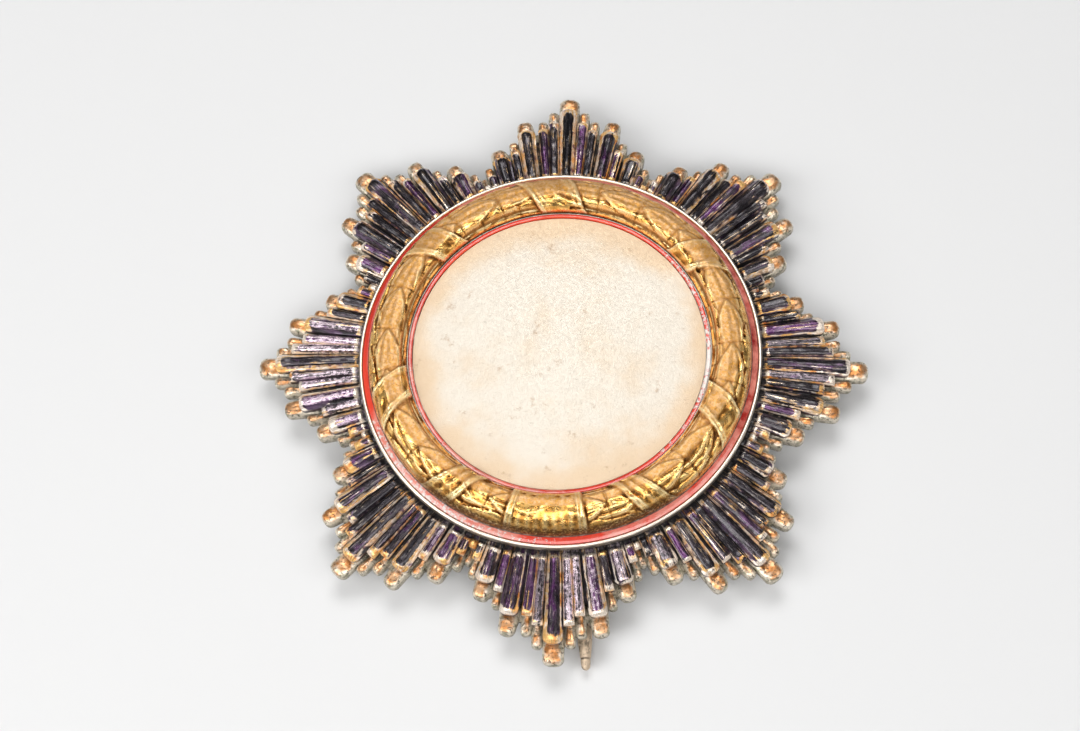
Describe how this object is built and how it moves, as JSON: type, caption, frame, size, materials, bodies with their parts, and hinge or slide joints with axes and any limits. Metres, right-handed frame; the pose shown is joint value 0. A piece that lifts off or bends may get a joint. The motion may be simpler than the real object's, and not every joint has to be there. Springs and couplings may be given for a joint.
{
  "type": "breast star",
  "caption": "Rayed breast star in stacked silver and dark layers, with an enamelled laurel-wreath medallion and a hinged pin on its back.",
  "frame": {"origin": "middle of the star on the surface that its back fittings rest on, under the centre of its outline", "axes": "+Z out of the star's face, +Y towards its top, +X to the right as seen from the front"},
  "size_m": [0.065, 0.065, 0.0105],
  "materials": {
    "silver_rays": "worn silver with coppery ray ends",
    "dark_rays": "dark iridescent tone, worn to copper on its edges",
    "silver_rim": "polished silver",
    "red_enamel": "glossy translucent enamel",
    "gilt": "gilt, matt on the worn crowns and glossy in the hollows",
    "matt_field": "frosted silver",
    "fittings": "nickel silver",
    "pin_wire": "dull nickel silver"
  },
  "bodies": {
    "star": {"lower_star": "silver_rays", "upper_star": "dark_rays", "medallion_plate": "silver_rim", "outer_enamel": "red_enamel", "wreath": "gilt", "inner_enamel": "red_enamel", "field_disc": "matt_field", "hinge_block": "fittings", "hinge_rod": "fittings", "catch": "fittings"},
    "pin": {"pin": "pin_wire"}
  },
  "joints": [
    {"name": "pin_swing", "type": "hinge", "parent": "star", "child": "pin", "pos_m": [0, 0.026, 0.00115], "axis": [1, 0, 0], "range_deg": [0, 95]}
  ]
}
